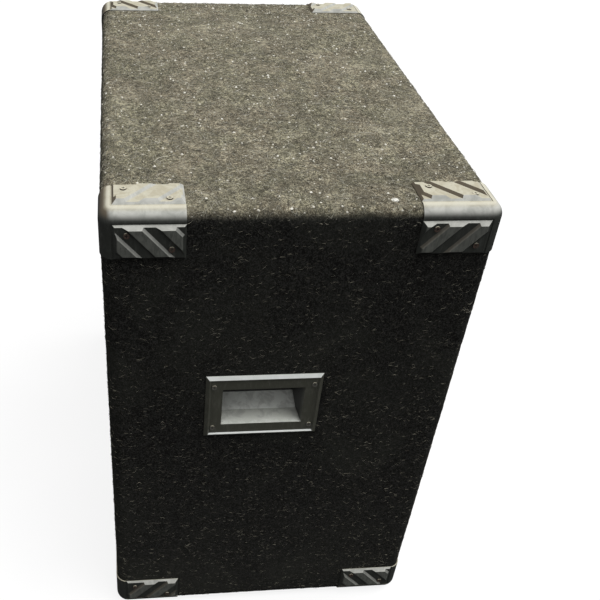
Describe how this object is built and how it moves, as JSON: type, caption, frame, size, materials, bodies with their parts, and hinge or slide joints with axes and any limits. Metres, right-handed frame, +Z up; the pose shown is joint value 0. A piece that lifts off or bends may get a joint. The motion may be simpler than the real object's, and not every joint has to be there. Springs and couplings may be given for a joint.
{
  "type": "pa speaker cabinet",
  "caption": "Carpet-covered wooden loudspeaker cabinet with corner protectors, recessed side handles, a bass driver, a horn and ports behind a steel grille, and a rear socket dish.",
  "frame": {"origin": "on the ground, under the middle of the cabinet, at the bottom of the corner protectors' ribs", "axes": "+Z up, -Y out of the front grille, +Y out of the rear sockets, +X towards the side that is on the right when the grille is looked at from the front"},
  "size_m": [0.7362, 0.4549, 0.7192],
  "materials": {
    "cabinet_board": "raw board",
    "painted_board": "painted matt",
    "softwood": "raw",
    "carpet": "needle-felt pile, dusty on top",
    "grille_steel": "powder coated",
    "foam": "open cell",
    "black_screw": "blackened",
    "guard_plastic": "satin, dusty",
    "rusty_screw": "rusty",
    "plated_screw": "dull plated",
    "handle_plastic": "satin, dusty",
    "frame_steel": "painted",
    "gasket_board": "pressed",
    "plate_steel": "zinc plated",
    "ferrite": "unglazed",
    "nickel": "nickel plated",
    "brass_tag": "tinned",
    "cone_paper": "pressed pulp",
    "copper": "enamelled copper",
    "surround_cloth": "doped cloth",
    "spider_cloth": "impregnated cloth",
    "black_plastic": "moulded",
    "diaphragm_metal": "formed sheet",
    "fibre_board": "pressed board",
    "capacitor_film": "wrapped film",
    "resistor_ceramic": "cast",
    "wadding_felt": "loose fibre",
    "wire_sleeve": "insulated"
  },
  "bodies": {
    "cabinet": {"top_panel": "cabinet_board", "bottom_panel": "cabinet_board", "left_side_panel": "cabinet_board", "right_side_panel": "cabinet_board", "rear_panel": "cabinet_board", "front_baffle": "painted_board", "front_battens": "softwood", "rear_battens": "softwood", "inner_brace": "softwood", "carpet_wrap": "carpet", "carpet_rear": "carpet", "grille": "grille_steel", "grille_foam": "foam", "grille_screws": "black_screw", "guard_front_right_top": "guard_plastic", "guard_front_right_bottom": "guard_plastic", "guard_front_left_bottom": "guard_plastic", "guard_front_left_top": "guard_plastic", "guard_rear_right_top": "guard_plastic", "guard_rear_right_bottom": "guard_plastic", "guard_rear_left_bottom": "guard_plastic", "guard_rear_left_top": "guard_plastic", "guard_screws": "rusty_screw", "handle_right": "handle_plastic", "handle_left": "handle_plastic", "handle_screws": "plated_screw", "woofer_basket": "frame_steel", "woofer_gasket": "gasket_board", "woofer_front_plate": "plate_steel", "woofer_magnet": "ferrite", "woofer_pole_piece": "plate_steel", "woofer_bolts": "black_screw", "woofer_tee_nuts": "nickel", "woofer_terminals": "brass_tag", "woofer_surround": "surround_cloth", "woofer_spider": "spider_cloth", "horn_flare": "black_plastic", "horn_screws": "black_screw", "horn_driver_body": "plate_steel", "horn_driver_magnet": "ferrite", "horn_driver_cover": "frame_steel", "horn_driver_suspension": "diaphragm_metal", "port_tubes": "black_plastic", "crossover_board": "fibre_board", "crossover_coils": "copper", "crossover_capacitors": "capacitor_film", "crossover_resistors": "resistor_ceramic", "socket_dish": "black_plastic", "jack_sockets": "nickel", "socket_dish_screws": "black_screw", "rear_panel_screws": "black_screw", "wadding": "wadding_felt", "wiring": "wire_sleeve"},
    "cone_assembly": {"woofer_cone": "cone_paper", "woofer_dust_cap": "cone_paper", "woofer_voice_coil": "copper"},
    "horn_diaphragm": {"horn_driver_diaphragm": "diaphragm_metal"}
  },
  "joints": [
    {"name": "cone_travel", "type": "slide", "parent": "cabinet", "child": "cone_assembly", "axis": [0, -1, 0], "range_m": [-0.005, 0.005], "stiffness_N_per_m": 6000, "deforming": ["woofer_surround", "woofer_spider"]},
    {"name": "diaphragm_travel", "type": "slide", "parent": "cabinet", "child": "horn_diaphragm", "axis": [0, -1, 0], "range_m": [-0.0004, 0.0004], "stiffness_N_per_m": 20000, "deforming": ["horn_driver_suspension"]}
  ]
}
